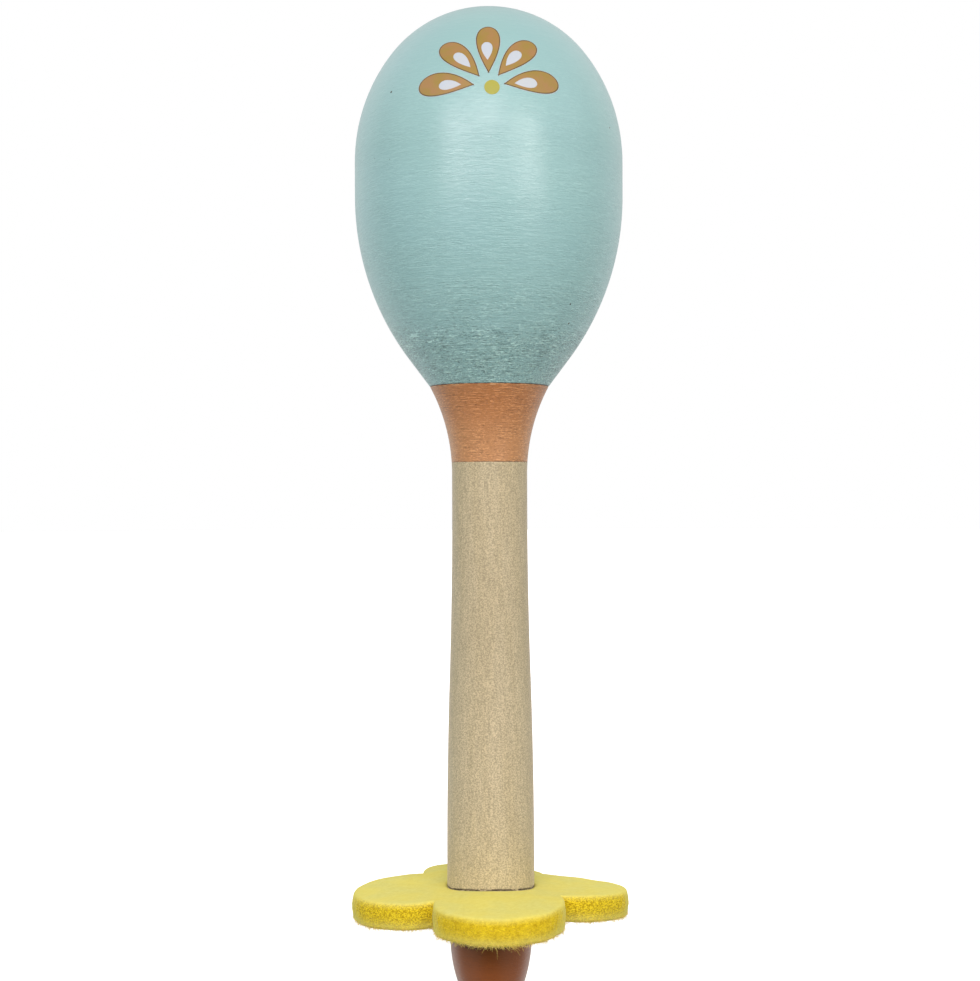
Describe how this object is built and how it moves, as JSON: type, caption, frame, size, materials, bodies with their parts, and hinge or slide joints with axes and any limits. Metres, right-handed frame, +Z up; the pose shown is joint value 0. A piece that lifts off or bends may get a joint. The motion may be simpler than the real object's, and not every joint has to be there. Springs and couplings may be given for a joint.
{
  "type": "maraca",
  "caption": "Wooden maraca: hollow egg-shaped lacquered head with loose pellets inside, flared neck, waisted handle, felt flower and turned end knob, shaken by hand as a rattle.",
  "frame": {"origin": "centre of the flat foot under the end knob, on the turning axis", "axes": "+Z up the turning axis from the knob to the head's crown; -Y towards the viewer, who sees the printed half rosette on the head; +X to the viewer's right"},
  "size_m": [0.0554, 0.0554, 0.2],
  "materials": {
    "mint_lacquer": "semi-gloss mint lacquer on turned wood",
    "terracotta_lacquer": "satin terracotta lacquer on turned wood",
    "bare_wood": "bare pale wood, sanded",
    "yellow_felt": "thick wool felt",
    "dowel_wood": "bare beech dowel",
    "pellet": "plain round beads"
  },
  "bodies": {
    "maraca": {"head_dome": "mint_lacquer", "head_bowl": "mint_lacquer", "neck_collar": "terracotta_lacquer", "handle": "bare_wood", "felt_flower": "yellow_felt", "knob_dowel": "dowel_wood", "end_knob": "terracotta_lacquer"},
    "pellet_1": {"pellet_1": "pellet"},
    "pellet_2": {"pellet_2": "pellet"},
    "pellet_3": {"pellet_3": "pellet"},
    "pellet_4": {"pellet_4": "pellet"},
    "pellet_5": {"pellet_5": "pellet"},
    "pellet_6": {"pellet_6": "pellet"},
    "pellet_7": {"pellet_7": "pellet"},
    "pellet_8": {"pellet_8": "pellet"},
    "pellet_9": {"pellet_9": "pellet"},
    "pellet_10": {"pellet_10": "pellet"},
    "pellet_11": {"pellet_11": "pellet"},
    "pellet_12": {"pellet_12": "pellet"},
    "pellet_13": {"pellet_13": "pellet"},
    "pellet_14": {"pellet_14": "pellet"},
    "pellet_15": {"pellet_15": "pellet"},
    "pellet_16": {"pellet_16": "pellet"},
    "pellet_17": {"pellet_17": "pellet"},
    "pellet_18": {"pellet_18": "pellet"},
    "pellet_19": {"pellet_19": "pellet"}
  },
  "joints": [
    {"name": "pellet_1_slide", "type": "slide", "parent": "maraca", "child": "pellet_1", "axis": [0, 0, 1], "range_m": [0, 0.0529]},
    {"name": "pellet_2_slide", "type": "slide", "parent": "maraca", "child": "pellet_2", "axis": [0, 0, 1], "range_m": [0, 0.0537]},
    {"name": "pellet_3_slide", "type": "slide", "parent": "maraca", "child": "pellet_3", "axis": [0, 0, 1], "range_m": [0, 0.0529]},
    {"name": "pellet_4_slide", "type": "slide", "parent": "maraca", "child": "pellet_4", "axis": [0, 0, 1], "range_m": [0, 0.0537]},
    {"name": "pellet_5_slide", "type": "slide", "parent": "maraca", "child": "pellet_5", "axis": [0, 0, 1], "range_m": [0, 0.0552]},
    {"name": "pellet_6_slide", "type": "slide", "parent": "maraca", "child": "pellet_6", "axis": [0, 0, 1], "range_m": [0, 0.0552]},
    {"name": "pellet_7_slide", "type": "slide", "parent": "maraca", "child": "pellet_7", "axis": [0, 0, 1], "range_m": [0, 0.0537]},
    {"name": "pellet_8_slide", "type": "slide", "parent": "maraca", "child": "pellet_8", "axis": [0, 0, 1], "range_m": [0, 0.0529]},
    {"name": "pellet_9_slide", "type": "slide", "parent": "maraca", "child": "pellet_9", "axis": [0, 0, 1], "range_m": [0, 0.0552]},
    {"name": "pellet_10_slide", "type": "slide", "parent": "maraca", "child": "pellet_10", "axis": [0, 0, 1], "range_m": [0, 0.056]},
    {"name": "pellet_11_slide", "type": "slide", "parent": "maraca", "child": "pellet_11", "axis": [0, 0, 1], "range_m": [0, 0.0552]},
    {"name": "pellet_12_slide", "type": "slide", "parent": "maraca", "child": "pellet_12", "axis": [0, 0, 1], "range_m": [0, 0.0529]},
    {"name": "pellet_13_slide", "type": "slide", "parent": "maraca", "child": "pellet_13", "axis": [0, 0, 1], "range_m": [0, 0.0537]},
    {"name": "pellet_14_slide", "type": "slide", "parent": "maraca", "child": "pellet_14", "axis": [0, 0, 1], "range_m": [0, 0.0552]},
    {"name": "pellet_15_slide", "type": "slide", "parent": "maraca", "child": "pellet_15", "axis": [0, 0, 1], "range_m": [0, 0.0552]},
    {"name": "pellet_16_slide", "type": "slide", "parent": "maraca", "child": "pellet_16", "axis": [0, 0, 1], "range_m": [0, 0.0537]},
    {"name": "pellet_17_slide", "type": "slide", "parent": "maraca", "child": "pellet_17", "axis": [0, 0, 1], "range_m": [0, 0.0529]},
    {"name": "pellet_18_slide", "type": "slide", "parent": "maraca", "child": "pellet_18", "axis": [0, 0, 1], "range_m": [0, 0.0537]},
    {"name": "pellet_19_slide", "type": "slide", "parent": "maraca", "child": "pellet_19", "axis": [0, 0, 1], "range_m": [0, 0.0529]}
  ]
}
